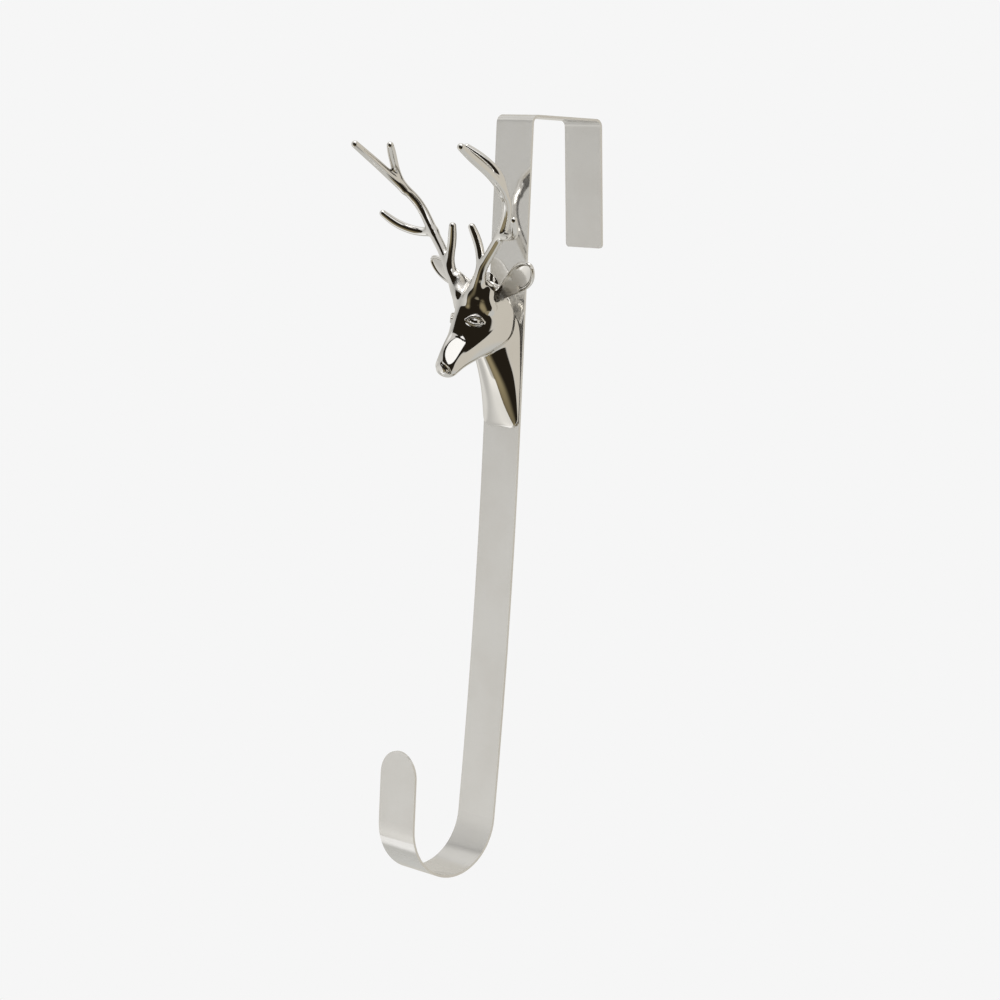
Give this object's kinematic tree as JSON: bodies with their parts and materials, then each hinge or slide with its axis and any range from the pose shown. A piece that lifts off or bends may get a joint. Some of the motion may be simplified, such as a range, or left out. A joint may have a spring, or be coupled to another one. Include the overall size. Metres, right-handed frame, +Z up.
{
  "type": "over-door wreath hanger",
  "caption": "Folded flat steel strip that hooks over a door, with a J-hook at its foot and a polished cast stag head with antlers on its front.",
  "frame": {"origin": "middle of the under side of the top bar, where it sits on the top edge of a door", "axes": "+Z up along the door, -Y the way the stag looks, +Y through the door to the back leg, X across the strip"},
  "size_m": [0.096, 0.1242, 0.3726],
  "materials": {
    "polished_strip": "polished, with a faint grain along the strip",
    "plated_casting": "bright nickel plate, mirror polished",
    "screw_steel": "zinc plated"
  },
  "bodies": {
    "root": {"hanger_band": "polished_strip", "stag_head": "plated_casting", "fixing_screws": "screw_steel"}
  },
  "joints": []
}
